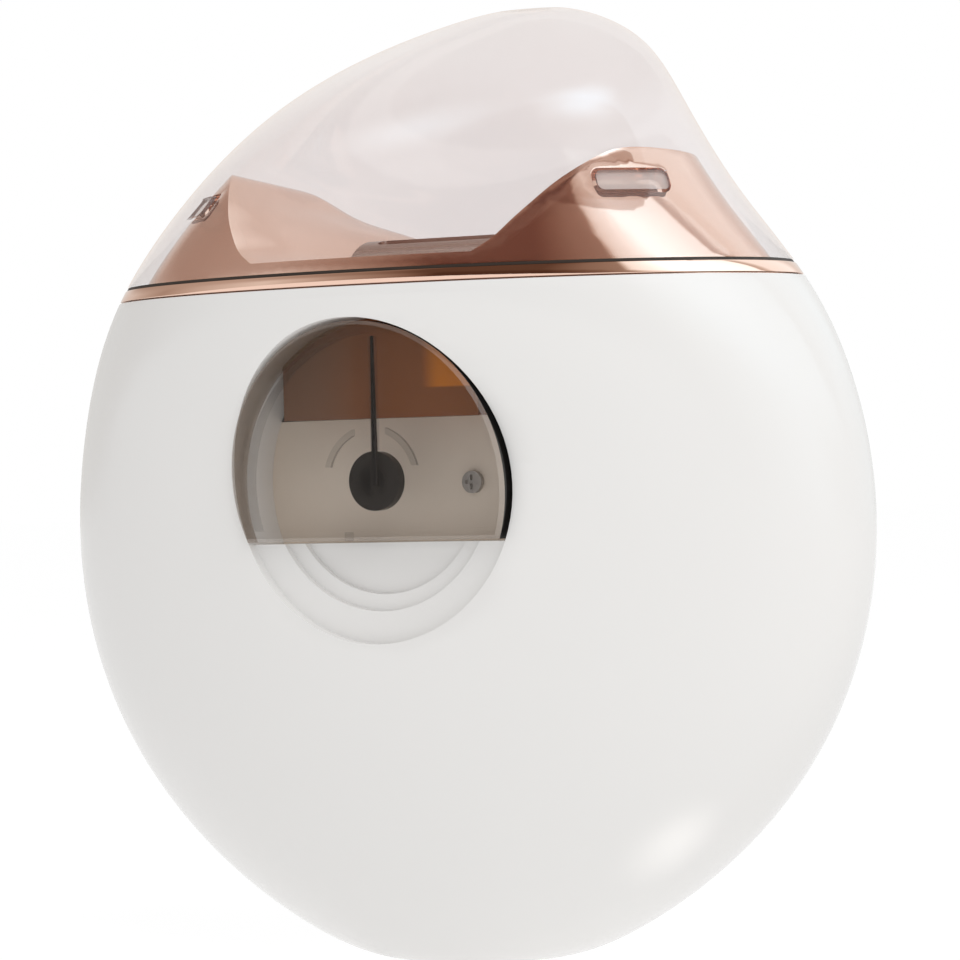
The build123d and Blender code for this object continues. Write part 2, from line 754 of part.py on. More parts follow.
with BuildPart() as motor_cap:
    with BuildSketch(Plane.YZ.offset(plate_inner_x - motor_length + motor_cap_thickness)):
        with Locations((0, motor_height)):
            Circle(motor_radius - motor_can_round)
    extrude(amount=-motor_cap_thickness)
motor_cap.part.label = "motor_cap"
export_step(motor_cap.part, "parts/motor_cap.step")

with BuildPart() as motor_shaft:
    with BuildSketch(Plane.YZ.offset(gear_outer_x + end_clearance)):
        with Locations((0, motor_height)):
            Circle(motor_shaft_radius)
    extrude(amount=-(gear_outer_x + end_clearance - plate_inner_x + motor_shaft_hidden))
motor_shaft.part.label = "motor_shaft"
export_step(motor_shaft.part, "parts/motor_shaft.step")

# Nail chute, from under the drum down to the waste chamber
with BuildPart() as nail_chute:
    with BuildSketch(Plane.YZ):
        with BuildLine():
            Polyline(
                (-chute_face_y, chute_mouth_height),
                (-chute_face_y, deck_foot),
                (chute_front_y, deck_foot),
                (chute_front_y, chute_front_height),
                (-chamber_depth_y, chute_mouth_height),
                close=True,
            )
        make_face()
    extrude(amount=chute_half_width, both=True)
    top_face = nail_chute.faces().sort_by(Axis.Z)[-1]
    mouth_face = nail_chute.faces().sort_by(Axis.Z)[0]
    offset(amount=-chute_wall, openings=[top_face, mouth_face])
nail_chute.part.label = "nail_chute"
export_step(nail_chute.part, "parts/nail_chute.step")

# Back panel of the waste chamber, with the one screw that shows through the window
with BuildPart() as chamber_panel:
    with BuildSketch(Plane.XZ.offset(chamber_depth_y)):
        with Locations((0, window_height)):
            Circle(collar_radius)
        with Locations((0, chute_mouth_height)):
            Rectangle(window_cut, window_cut, align=(Align.CENTER, Align.MIN), mode=Mode.SUBTRACT)
        with Locations((0, shelf_top - 2 * recess_floor_wall)):
            Rectangle(window_cut, window_cut, align=(Align.CENTER, Align.MAX), mode=Mode.SUBTRACT)
        with Locations((chamber_screw_x, chamber_screw_height)):
            Circle(small_screw_shank, mode=Mode.SUBTRACT)
    extrude(amount=-panel_thickness)
chamber_panel.part.label = "chamber_panel"
export_step(chamber_panel.part, "parts/chamber_panel.step")

# The door's face leans outwards towards its top, as the shell round it does
door_lean = radians(door_tilt)
door_face = Plane(origin=(0, -door_face_y, door_edge_height), z_dir=(0, -cos(door_lean), -sin(door_lean)))

# Waste door: a smoked lens with a skirt, a flat lower edge and a catch notch
with BuildPart() as waste_door:
    with BuildSketch(Plane.XZ.offset(door_skirt_y)):
        with Locations((0, window_height)):
            Circle(door_radius)
        with Locations((0, door_edge_height)):
            Rectangle(4 * door_radius, 4 * door_radius, align=(Align.CENTER, Align.MAX), mode=Mode.SUBTRACT)
    extrude(amount=belly_half_depth)
    split(bisect_by=door_face, keep=Keep.BOTTOM)
    chamfer(waste_door.faces().sort_by(Axis.Y)[0].edges(), door_edge_chamfer)
    with BuildSketch(Plane.XZ.offset(door_skirt_y)):
        with Locations((0, window_height)):
            Circle(door_radius - door_skirt_wall)
        with Locations((0, door_edge_height + door_skirt_wall)):
            Rectangle(4 * door_radius, 4 * door_radius, align=(Align.CENTER, Align.MAX), mode=Mode.SUBTRACT)
    extrude(amount=lens_back_y - door_skirt_y, mode=Mode.SUBTRACT)
    with BuildSketch(Plane.XZ.offset(door_skirt_y)):
        with Locations((0, door_edge_height)):
            Rectangle(notch_width, 2 * notch_height)
    extrude(amount=lens_back_y - door_skirt_y, mode=Mode.SUBTRACT)
    with BuildSketch(Plane.XZ.offset(lens_back_y)):
        with Locations((0, window_height)):
            Circle(arch_radius + arch_width / 2)
            Circle(arch_radius - arch_width / 2, mode=Mode.SUBTRACT)
            with Locations((0, arch_foot_rise - 2 * arch_radius)):
                Rectangle(4 * arch_radius, 4 * arch_radius, mode=Mode.SUBTRACT)
            Rectangle(2 * arch_half_gap, 4 * arch_radius, mode=Mode.SUBTRACT)
    extrude(amount=-arch_rise)
    with BuildSketch(Plane.XZ.offset(lens_back_y)):
        with Locations((fin_offset - fin_foot_width / 2, rib_foot_height)):
            Rectangle(rib_width, fin_top_height - rib_foot_height, align=(Align.MAX, Align.MIN))
    extrude(amount=-rib_reach)
    with BuildSketch(Plane.XZ.offset(lens_back_y)):
        with Locations((0, window_height)):
            Circle(hub_stem_radius)
        with Locations((fin_offset, window_height)):
            Rectangle(fin_foot_width + 2 * fin_clearance, 4 * hub_radius, mode=Mode.SUBTRACT)
    extrude(amount=-hub_stem_length)
waste_door.part.label = "waste_door"
export_step(waste_door.part, "parts/waste_door.step")

# Thin fin down the middle of the door and the dark hub at its foot
with BuildPart() as door_fin:
    with BuildSketch(Plane.XZ.offset(lens_back_y)):
        Polygon(
            (fin_offset - fin_foot_width / 2, fin_foot_height),
            (fin_offset + fin_foot_width / 2, fin_foot_height),
            (fin_offset + fin_tip_width / 2, fin_top_height),
            (fin_offset - fin_tip_width / 2, fin_top_height),
            align=None,
        )
    extrude(amount=-fin_reach)
door_fin.part.label = "door_fin"
export_step(door_fin.part, "parts/door_fin.step")

with BuildPart() as door_hub:
    with BuildSketch(Plane.XZ.offset(lens_back_y - hub_stem_length)):
        with Locations((0, window_height)):
            Circle(hub_radius)
    extrude(amount=-hub_thickness)
door_hub.part.label = "door_hub"
export_step(door_hub.part, "parts/door_hub.step")

# Bezel round the power button, its face following the shell
with BuildPart() as button_bezel:
    with BuildSketch(Plane.XZ.offset(-bezel_flange_y)):
        with Locations((0, button_height)):
            Circle(bezel_radius)
    extrude(amount=-belly_half_depth)
    add(form(-bezel_proud), mode=Mode.INTERSECT)
    with BuildSketch(Plane.XZ.offset(-bezel_flange_y)):
        with Locations((0, button_height)):
            Circle(bezel_radius + bezel_flange)
    extrude(amount=-bezel_flange_thickness)
    with BuildSketch(Plane.XZ.offset(-bezel_flange_y)):
        with Locations((0, button_height)):
            Circle(button_radius + button_gap)
    extrude(amount=-belly_half_depth, mode=Mode.SUBTRACT)
button_bezel.part.label = "button_bezel"
export_step(button_bezel.part, "parts/button_bezel.step")

# Power button, with the flange that keeps it in and the stem that works the switch
with BuildPart() as power_button:
    with BuildSketch(Plane.XZ.offset(-bezel_flange_y + button_back_gap)):
        with Locations((0, button_height)):
            Circle(button_radius)
    extrude(amount=-belly_half_depth)
    add(form(-button_proud), mode=Mode.INTERSECT)
    with BuildSketch(Plane.XZ.offset(-bezel_flange_y + button_back_gap)):
        with Locations((0, button_height)):
            Circle(button_radius + button_flange)
    extrude(amount=button_flange_thickness)
    with BuildSketch(Plane.XZ.offset(-switch_face_y)):
        with Locations((0, button_height)):
            Circle(button_stem_radius)
    extrude(amount=-(bezel_flange_y - button_back_gap - button_flange_thickness - switch_face_y))
power_button.part.label = "power_button"
export_step(power_button.part, "parts/power_button.step")

# Switch on the board and its plunger, which moves with the button
with BuildPart() as tact_switch:
    with BuildSketch(Plane.XZ.offset(board_face_y)):
        with Locations((0, button_height)):
            Rectangle(switch_size, switch_size)
    extrude(amount=-switch_body)
    with BuildSketch(Plane.XZ.offset(board_face_y - switch_body)):
        with Locations((0, button_height)):
            Circle(switch_stem_radius + switch_stem_gap)
    extrude(amount=switch_stem_hidden + 2 * button_travel, mode=Mode.SUBTRACT)
tact_switch.part.label = "tact_switch"
export_step(tact_switch.part, "parts/tact_switch.step")

with BuildPart() as switch_plunger:
    with BuildSketch(Plane.XZ.offset(-switch_face_y)):
        with Locations((0, button_height)):
            Circle(switch_stem_radius)
    extrude(amount=switch_stem + switch_stem_hidden)
switch_plunger.part.label = "switch_plunger"
export_step(switch_plunger.part, "parts/switch_plunger.step")

# Circuit board, with a narrower tail down to the charging socket
with BuildPart() as circuit_board:
    with BuildSketch(Plane.XZ.offset(board_face_y)):
        with Locations((0, board_foot_height)):
            body_height = board_top_height - board_foot_height
            Rectangle(2 * board_half_width, body_height, align=(Align.CENTER, Align.MIN))
            tail_height = board_foot_height - board_tail_height
            Rectangle(2 * board_tail_half_width, tail_height, align=(Align.CENTER, Align.MAX))
        with Locations(*board_screw_places):
            Circle(screw_shank, mode=Mode.SUBTRACT)
    extrude(amount=board_thickness)
circuit_board.part.label = "circuit_board"
export_step(circuit_board.part, "parts/circuit_board.step")

# Charging socket: its metal shell and the tongue inside
with BuildPart() as socket_shell:
    with BuildSketch(Plane.XY.offset(socket_inset)):
        SlotOverall(socket_width, socket_depth)
    extrude(amount=socket_length)
    with BuildSketch(Plane.XY.offset(socket_inset)):
        SlotOverall(socket_width - 2 * socket_wall, socket_depth - 2 * socket_wall)
    extrude(amount=socket_length - socket_wall, mode=Mode.SUBTRACT)
socket_shell.part.label = "socket_shell"
export_step(socket_shell.part, "parts/socket_shell.step")

with BuildPart() as socket_tongue:
    with BuildSketch(Plane.XY.offset(socket_inset + socket_length - socket_wall)):
        Rectangle(tongue_width, tongue_thickness)
    extrude(amount=-(socket_length - 2 * socket_wall - socket_inset))
socket_tongue.part.label = "socket_tongue"
export_step(socket_tongue.part, "parts/socket_tongue.step")

# Battery and the foam pad between it and the board
with BuildPart() as battery:
    with BuildSketch(Plane.XZ.offset(battery_face_y)):
        with Locations((0, battery_foot_height)):
            battery_height = battery_top_height - battery_foot_height
            Rectangle(2 * battery_half_width, battery_height, align=(Align.CENTER, Align.MIN))
    extrude(amount=battery_thickness)
    fillet(battery.edges().filter_by(Axis.Z), battery_corner)
battery.part.label = "battery"
export_step(battery.part, "parts/battery.step")

with BuildPart() as battery_pad:
    with BuildSketch(Plane.XZ.offset(board_back_y)):
        with Locations((0, (battery_foot_height + battery_top_height) / 2)):
            Rectangle(battery_half_width, (battery_top_height - battery_foot_height) / 2)
    extrude(amount=pad_thickness)
battery_pad.part.label = "battery_pad"
export_step(battery_pad.part, "parts/battery_pad.step")

# Status light: the lamp on the board and the pipe that leads to the front
with BuildPart() as status_led:
    with BuildSketch(Plane.XZ.offset(board_face_y)):
        with Locations((0, light_height)):
            Rectangle(led_width, led_width)
    extrude(amount=-led_thickness)
status_led.part.label = "status_led"
export_step(status_led.part, "parts/status_led.step")

with BuildPart() as light_pipe:
    with BuildSketch(Plane.XZ.offset(board_face_y - led_thickness - light_gap)):
        with Locations((0, light_height)):
            Circle(light_radius)
    extrude(amount=-belly_half_depth)
    add(outer_form, mode=Mode.INTERSECT)
light_pipe.part.label = "light_pipe"
export_step(light_pipe.part, "parts/light_pipe.step")

# Screws
screw_groups = {
    "head_screws": screws(
        [(x, y, deck_foot) for x, y in head_screw_places],
        (0, 0, 1), screw_shank, screw_head, screw_head_height, head_screw_length,
    ),
    "deck_screws": screws(
        [(x, y, rim_height) for x, y in deck_screw_places],
        (0, 0, -1), screw_shank, screw_head, screw_head_height, shell_boss_height,
    ),
    "guard_screws": screws(
        [(x, y, rim_height + guard_thickness) for x, y in guard_screw_places],
        (0, 0, -1), small_screw_shank, small_screw_head, small_screw_head_height,
        guard_thickness + deck_thickness,
    ),
    "motor_screws": screws(
        [(plate_outer_x, y, z) for y, z in motor_screw_places],
        (-1, 0, 0), screw_shank, screw_head, screw_head_height, motor_screw_length,
    ),
    "board_screws": screws(
        [(x, -board_face_y, z) for x, z in board_screw_places],
        (0, -1, 0), screw_shank, screw_head, screw_head_height, board_thickness + shell_boss_height / 2,
    ),
    "chamber_screw": screws(
        [(chamber_screw_x, -chamber_depth_y, chamber_screw_height)],
        (0, 1, 0), small_screw_shank, small_screw_head, small_screw_head_height,
        panel_thickness + screw_tab_depth,
    ),
}
for name, group in screw_groups.items():
    group.label = name
    export_step(group, f"parts/{name}.step")

# Leads: from the motor down to the board's face, and from the battery over to the board's edge
lead_y = -board_face_y + wire_radius
motor_end_x = plate_inner_x - motor_length
with BuildPart() as motor_leads:
    for turn in (1, 2):
        drop_x = motor_end_x - turn * 3 * wire_radius
        start_height = motor_height + (turn - 1) * 5 * wire_radius
        with BuildLine() as lead_path:
            FilletPolyline(
                (motor_end_x, lead_y, start_height),
                (drop_x, lead_y, start_height),
                (drop_x, lead_y, board_top_height - 2 * wire_radius),
                radius=wire_bend,
            )
        with BuildSketch(Plane(origin=lead_path.line @ 0, z_dir=lead_path.line % 0)):
            Circle(wire_radius)
        sweep(path=lead_path.line)
motor_leads.part.label = "motor_leads"
export_step(motor_leads.part, "parts/motor_leads.step")

lead_top = (board_top_height + motor_height - motor_radius) / 2
battery_lead_y = -battery_face_y - battery_thickness / 2
with BuildPart() as battery_leads:
    for lead_x in (battery_half_width / 2, battery_half_width / 2 + 3 * wire_radius):
        with BuildLine() as lead_path:
            FilletPolyline(
                (lead_x, battery_lead_y, battery_top_height),
                (lead_x, battery_lead_y, lead_top),
                (lead_x, -board_back_y + board_thickness / 2, lead_top),
                (lead_x, -board_back_y + board_thickness / 2, board_top_height),
                radius=wire_bend,
            )
        with BuildSketch(Plane(origin=lead_path.line @ 0, z_dir=lead_path.line % 0)):
            Circle(wire_radius)
        sweep(path=lead_path.line)
battery_leads.part.label = "battery_leads"
export_step(battery_leads.part, "parts/battery_leads.step")
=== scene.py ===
"""Looks for an electric nail clipper, laid out as an add-on and run as a script."""

import json
from math import cos, hypot, pi, radians, sin

import bpy
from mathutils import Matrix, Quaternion, Vector


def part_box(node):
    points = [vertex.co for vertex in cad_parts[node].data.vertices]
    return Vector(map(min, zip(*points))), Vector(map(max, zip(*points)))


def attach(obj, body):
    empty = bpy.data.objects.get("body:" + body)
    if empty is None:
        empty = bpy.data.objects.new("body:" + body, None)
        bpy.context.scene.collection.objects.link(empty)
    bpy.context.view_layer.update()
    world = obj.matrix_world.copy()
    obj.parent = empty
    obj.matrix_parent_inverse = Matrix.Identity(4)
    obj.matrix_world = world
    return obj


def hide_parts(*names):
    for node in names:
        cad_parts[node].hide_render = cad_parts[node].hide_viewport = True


bl_info = {
    "name": "Nail Clipper Looks",
    "version": (1, 0, 0),
    "blender": (4, 5, 0),
    "location": "View3D > Sidebar > Nail Clipper",
    "description": "Finishes, fine detail and a studio for an electric nail clipper",
    "category": "Object",
}

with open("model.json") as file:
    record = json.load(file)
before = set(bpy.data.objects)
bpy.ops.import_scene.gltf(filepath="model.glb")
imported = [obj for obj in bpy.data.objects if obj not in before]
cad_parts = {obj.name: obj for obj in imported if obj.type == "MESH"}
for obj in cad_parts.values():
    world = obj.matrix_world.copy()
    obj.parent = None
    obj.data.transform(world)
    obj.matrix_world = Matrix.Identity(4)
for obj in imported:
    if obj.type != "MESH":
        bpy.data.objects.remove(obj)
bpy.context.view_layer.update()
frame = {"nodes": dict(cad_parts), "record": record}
millimetre = 0.001

# The cap's latch lugs, as the part has them; a lug's end faces inwards by more than lug_facing
lug_turn = radians(43)
lug_place = Vector((23.0, -7.4, 69.6)) * millimetre
lug_half_width = 3.3 * millimetre
lug_half_height = 0.9 * millimetre
lug_depth = 3.0 * millimetre
lug_margin = 0.03 * millimetre
lug_facing = 0.5

# A point inside the cap, which the cap's inner faces turn to
cap_middle = Vector((0, 5, 62)) * millimetre

# The door's arch marks, as the part has them: radius, half their width, and where the lens ends inwards
arch_reach = 4.7 * millimetre
arch_band = 0.35 * millimetre
lens_back = -15.19 * millimetre

# The door's faces by how far they turn to the front: its wall less, its lens more, its edge between
wall_slope = 0.3
lens_slope = 0.95
wall_band = 0.1 * millimetre

# Zones on the chute in millimetres: where its painted shade on the left fades, and two edges of the patch
# of painted amber light, where light shines through
painted_shade_fade = (-8.0, 1.5)
painted_light_across = (4.2, 6.4)
painted_light_above = (51.9, 52.1)

# An effect's noise: its detail, and the part of its range that is spread from Low to High
noise_detail = 3.0
noise_range = (0.3, 0.7)

# Segments of a rounded edge
round_segments = 2

# Gloss over see-through pieces: its roughness, how steeply it rises edge on, and how strong it gets
gloss_roughness = 0.06
gloss_power = 5.0
gloss_most = 0.6

# Tint that keeps the plastics' reflections warm under the cool bright walls
warm_glint = (1.0, 0.92, 0.86)

# The camera: sensor in millimetres, shift as a share of the sensor, and nearest distance in metres
sensor_width = 36
camera_shift = (0.0219, -0.0035)
nearest_view = 0.01

# The softbox: width, place and the point that it shines at, in metres
softbox_width = 0.6
softbox_place = Vector((0.486, -0.316, 0.665))
softbox_target = Vector((0, 0, 0.045))

# Brightness round the studio for reflections: azimuth in degrees from the window's side, and level
low_walls = (
    (-180, 0.88), (-110, 0.72), (-84, 0.44), (-50, 0.80), (-36, 0.52), (-22, 0.28), (-14, 0.08),
    (10, 0.08), (24, 0.22), (33, 0.40), (40, 0.85), (60, 1.15), (78, 1.20), (92, 0.80), (112, 0.80),
    (135, 0.98), (168, 1.00), (180, 0.88),
)
high_walls = (
    (-180, 0.88), (-140, 0.85), (-118, 0.45), (-90, 0.48), (-58, 0.55), (-30, 0.30), (-18, 0.12),
    (8, 0.12), (20, 0.28), (31, 0.36), (34, 1.10), (43, 1.35), (56, 1.75), (84, 1.60), (115, 1.42),
    (119, 0.62), (125, 0.74), (133, 1.15), (168, 1.20), (180, 0.92),
)

# Upward part of a direction: where low walls turn into high ones, and where the dimmer ceiling starts
walls_change = (0.2, 0.34)
ceiling_start = 0.93
ceiling_dimming = 0.45

# Bright cards overhead for the cap: direction, radius and strength
overhead_cards = (
    ((-0.45, 0.15, 0.88), 0.24, 1.0),
    ((-0.10, 0.32, 0.94), 0.20, 1.8),
)

# Gain and power that make a level's green and blue, so that bright walls are cool and dark ones warm
level_cast = (("Green", 1.06, 1.3), ("Blue", 1.08, 1.5))

# The floor: width in metres, and a glowing spot on it, seen only in reflections, that paints a highlight on
# the belly
floor_width = 8
spot_place = (0.0285, -0.0098, 0)
spot_radius = 0.009
spot_strength = 4.0

# The floor's own light: strength, share of the floor's look, and what rays that show the floor add
floor_glow = 1.08
glow_share = 0.6
clean_share = 0.25


def colour_property(name, description, default):
    """A colour that a user can change."""
    return bpy.props.FloatVectorProperty(
        name=name, description=description, subtype="COLOR", size=3, min=0, max=1, default=default,
    )


def length_property(name, description, default):
    """A length that a user can change, in metres."""
    return bpy.props.FloatProperty(
        name=name, description=description, subtype="DISTANCE", unit="LENGTH", default=default,
    )


def angle_property(name, description, default):
    """An angle that a user can change, in radians."""
    return bpy.props.FloatProperty(name=name, description=description, subtype="ANGLE", default=default)


class ClipperFinishes(bpy.types.PropertyGroup):
    """Colours of the clipper's pieces, of painted light and shade on some of them, and of the floor."""

    shell_white: colour_property("Shell white", "Gloss shells and button", (0.865, 0.855, 0.84))
    rose_gold: colour_property("Rose gold", "Plated ring, head and bezel", (0.89, 0.62, 0.50))
    # Painted shadow: a black seal that stands for the dark gap between ring and cap
    seal_painted_shadow: colour_property("Seal painted shadow", "Black seal, painted as the shadow gap between ring and cap", (0.03, 0.02, 0.015))
    cap_tint: colour_property("Cap tint", "Clear cap, faintly pink", (0.40, 0.12, 0.10))
    # Painted light on the faces of the clear lugs
    lug_painted_light: colour_property("Lug painted light", "Painted light on the face of the cap's latch lugs", (0.80, 0.73, 0.69))
    smoke_tint: colour_property("Smoke tint", "Smoked waste door", (0.05, 0.04, 0.032))
    # Painted light on the left half of the door's wall
    left_wall_painted_light: colour_property("Left wall painted light", "Painted light on the left half of the door's wall", (0.20, 0.13, 0.075))
    # Painted highlight along the door's chamfer
    door_edge_painted_highlight: colour_property("Door edge painted highlight", "Painted highlight on the chamfer round the door", (0.62, 0.57, 0.53))
    black_gloss: colour_property("Black gloss", "Fin, hub, switch and tongue", (0.012, 0.010, 0.009))
    chute_copper: colour_property("Chute copper", "Chute over the waste chamber", (0.22, 0.070, 0.020))
    # Painted shade on the chute's left, and painted amber light where light shines through the chute
    chute_painted_shade: colour_property("Chute painted shade", "Shaded left part of the chute", (0.19, 0.095, 0.055))
    chute_painted_light: colour_property("Chute painted light", "Where light shines through the chute", (0.66, 0.20, 0.015))
    panel_beige: colour_property("Panel beige", "Back panel of the chamber", (0.86, 0.74, 0.62))
    guard_steel: colour_property("Guard steel", "Slotted guard over the drum", (0.40, 0.30, 0.25))
    ground_steel: colour_property("Ground steel", "Drum, shafts, pin and motor can", (0.48, 0.48, 0.49))
    screw_steel: colour_property("Screw steel", "Screws and clips", (0.42, 0.40, 0.38))
    bronze: colour_property("Bronze", "Bushes and motor pinion", (0.60, 0.36, 0.13))
    white_nylon: colour_property("White nylon", "Gears, spacer, plunger and lamp", (0.72, 0.70, 0.64))
    grey_nylon: colour_property("Grey nylon", "Head frame, motor cap and pad", (0.08, 0.08, 0.085))
    solder_resist: colour_property("Solder resist", "Circuit board", (0.01, 0.09, 0.03))
    solder_light: colour_property("Solder light", "Lighter patches of the board", (0.012, 0.13, 0.045))
    cell_foil: colour_property("Cell foil", "Battery", (0.62, 0.63, 0.65))
    plated_tin: colour_property("Plated tin", "Shell of the charging socket", (0.66, 0.66, 0.67))
    red_sleeve: colour_property("Red sleeve", "Leads of the motor", (0.42, 0.012, 0.01))
    black_sleeve: colour_property("Black sleeve", "Leads of the battery", (0.015, 0.015, 0.015))
    floor_pale: colour_property("Floor pale", "Floor under the clipper", (0.9, 0.9, 0.9))


class ClipperSizes(bpy.types.PropertyGroup):
    """Sizes of the fine detail."""

    edge_round: length_property("Edge round", "Rounding of moulded edges", 0.15 * millimetre)
    fin_round: length_property("Fin round", "Rounding of the door's fin", 0.1 * millimetre)
    merge_distance: length_property("Merge distance", "Closer vertices are merged", 0.001 * millimetre)
    smooth_angle: angle_property("Smooth angle", "Edges sharper than this stay crisp", radians(30))


class StudioSettings(bpy.types.PropertyGroup):
    """Camera and light of the studio."""

    camera_turn: angle_property("Camera turn", "Turn of the camera round the clipper", radians(31))
    camera_roll: angle_property("Camera roll", "Roll of the camera about its view", radians(-1.47))
    camera_distance: length_property("Camera distance", "From the camera to the clipper", 0.39)
    camera_height: length_property("Camera height", "Height of the camera", 0.044)
    focal_length: bpy.props.FloatProperty(
        name="Focal length", description="Focal length in millimetres", default=159.4,
    )
    fill_level: bpy.props.FloatProperty(
        name="Fill level", description="Strength of the light from all round", default=0.57,
    )
    softbox_power: bpy.props.FloatProperty(
        name="Softbox power", description="Power of the softbox in watts", default=3.1,
    )


def select_only(item):
    """Select this object and nothing else."""
    bpy.ops.object.select_all(action="DESELECT")
    item.select_set(True)
    bpy.context.view_layer.objects.active = item


def math_node(tree, operation, *values):
    """A Math node; a value is a number or another node's output."""
    node = tree.nodes.new("ShaderNodeMath")
    node.operation = operation
    for index, value in enumerate(values):
        if isinstance(value, (int, float)):
            node.inputs[index].default_value = value
        else:
            tree.links.new(value, node.inputs[index])
    return node.outputs["Value"]


def map_range(tree, value, start, end, low=0.0, high=1.0, smooth=False):
    """Carry a value from the range start to end over to the range low to high."""
    node = tree.nodes.new("ShaderNodeMapRange")
    node.interpolation_type = "SMOOTHSTEP" if smooth else "LINEAR"
    for socket, number in (("From Min", start), ("From Max", end), ("To Min", low), ("To Max", high)):
        node.inputs[socket].default_value = number
    tree.links.new(value, node.inputs["Value"])
    return node.outputs["Result"]


def mix_colours(tree, share, first, second):
    """Mix two colours by a share; each is a colour or another node's output."""
    mix = tree.nodes.new("ShaderNodeMix")
    mix.data_type = "RGBA"
    tree.links.new(share, mix.inputs[0])
    for socket, colour in ((mix.inputs[6], first), (mix.inputs[7], second)):
        if isinstance(colour, bpy.types.NodeSocket):
            tree.links.new(colour, socket)
        else:
            socket.default_value = (*colour, 1)
    return mix.outputs[2]


def soft_spot(tree, place, centre, radius, strength):
    """A spot of full strength at its centre that fades to none at its radius."""
    reach = tree.nodes.new("ShaderNodeVectorMath")
    reach.operation = "DISTANCE"
    reach.inputs[1].default_value = centre
    tree.links.new(place, reach.inputs[0])
    return map_range(tree, reach.outputs["Value"], 0.0, radius, strength, 0.0, smooth=True)


def clear_rays(tree, rays):
    """1 for rays that were mirrored or went through a clear piece, otherwise 0."""
    return math_node(tree, "MAXIMUM", rays["Is Glossy Ray"], rays["Is Transmission Ray"])


def shader_of(material):
    """The Principled shader of a material."""
    return material.node_tree.nodes["Principled BSDF"]


def blend_surfaces(material, share, second):
    """Make a material's surface a mix of its Principled shader and a second one."""
    tree = material.node_tree
    blend = tree.nodes.new("ShaderNodeMixShader")
    tree.links.new(share, blend.inputs["Fac"])
    tree.links.new(shader_of(material).outputs["BSDF"], blend.inputs[1])
    tree.links.new(second, blend.inputs[2])
    tree.links.new(blend.outputs["Shader"], tree.nodes["Material Output"].inputs["Surface"])


def group_socket(tree, name, direction, default=None, kind="NodeSocketFloat"):
    """A named socket on a node group."""
    socket = tree.interface.new_socket(name=name, in_out=direction, socket_type=kind)
    if default is not None:
        socket.default_value = default


def noise_effect(name):
    """A node group that turns noise on Object coordinates into a value between Low and High."""
    tree = bpy.data.node_groups.new(name, "ShaderNodeTree")
    group_socket(tree, "Scale", "INPUT", 100.0)
    group_socket(tree, "Stretch", "INPUT", (1.0, 1.0, 1.0), "NodeSocketVector")
    group_socket(tree, "Low", "INPUT", 0.0)
    group_socket(tree, "High", "INPUT", 1.0)
    group_socket(tree, "Value", "OUTPUT")
    nodes, links = tree.nodes, tree.links
    entry = nodes.new("NodeGroupInput")
    leave = nodes.new("NodeGroupOutput")
    place = nodes.new("ShaderNodeTexCoord")
    stretch = nodes.new("ShaderNodeVectorMath")
    stretch.operation = "MULTIPLY"
    noise = nodes.new("ShaderNodeTexNoise")
    noise.inputs["Detail"].default_value = noise_detail
    links.new(place.outputs["Object"], stretch.inputs[0])
    links.new(entry.outputs["Stretch"], stretch.inputs[1])
    links.new(stretch.outputs["Vector"], noise.inputs["Vector"])
    links.new(entry.outputs["Scale"], noise.inputs["Scale"])
    spread = map_range(tree, noise.outputs["Fac"], *noise_range)
    links.new(entry.outputs["Low"], spread.node.inputs["To Min"])
    links.new(entry.outputs["High"], spread.node.inputs["To Max"])
    links.new(spread, leave.inputs["Value"])
    return tree


def add_effect(material, name, **values):
    """Place a shared effect in a material with this material's own values, and give its output."""
    node = material.node_tree.nodes.new("ShaderNodeGroup")
    node.node_tree = bpy.data.node_groups.get(name) or noise_effect(name)
    for socket, value in values.items():
        node.inputs[socket].default_value = value
    return node.outputs["Value"]


def base_material(name, colour, roughness, metallic=0.0, **sockets):
    """A material with a plain Principled shader; its effects are added afterwards."""
    material = bpy.data.materials.new(name)
    material.use_nodes = True
    shader = shader_of(material)
    shader.inputs["Base Color"].default_value = (*colour, 1)
    shader.inputs["Roughness"].default_value = roughness
    shader.inputs["Metallic"].default_value = metallic
    for socket, value in sockets.items():
        shader.inputs[socket.replace("_", " ")].default_value = value
    return material


def add_haze(material, low, high, scale, stretch=(1, 1, 1)):
    """Uneven gloss, as on a handled or moulded surface."""
    haze = add_effect(material, "Surface Haze", Scale=scale, Stretch=stretch, Low=low, High=high)
    material.node_tree.links.new(haze, shader_of(material).inputs["Roughness"])


def add_grain(material, scale, depth, stretch=(1, 1, 1)):
    """Fine relief, as of a moulded texture, brushing or foil."""
    grain = add_effect(material, "Fine Grain", Scale=scale, Stretch=stretch)
    bump = material.node_tree.nodes.new("ShaderNodeBump")
    bump.inputs["Distance"].default_value = depth
    material.node_tree.links.new(grain, bump.inputs["Height"])
    material.node_tree.links.new(bump.outputs["Normal"], shader_of(material).inputs["Normal"])


def add_tone(material, first, second, scale, stretch=(1, 1, 1)):
    """Slow change between two close colours; gives the mixed colour."""
    tree = material.node_tree
    tone = add_effect(material, "Tone Drift", Scale=scale, Stretch=stretch)
    mixed = mix_colours(tree, tone, first, second)
    tree.links.new(mixed, shader_of(material).inputs["Base Color"])
    return mixed


def lay_gloss(material, least):
    """Lay mirror reflections over a see-through material, stronger where it is seen edge on."""
    tree = material.node_tree
    edge = tree.nodes.new("ShaderNodeLayerWeight")
    rise = math_node(tree, "POWER", edge.outputs["Facing"], gloss_power)
    shine = tree.nodes.new("ShaderNodeBsdfGlossy")
    shine.inputs["Roughness"].default_value = gloss_roughness
    shine.inputs["Color"].default_value = (*warm_glint, 1)
    share = map_range(tree, rise, 0.0, 1.0, least, gloss_most)
    blend_surfaces(material, share, shine.outputs["BSDF"])


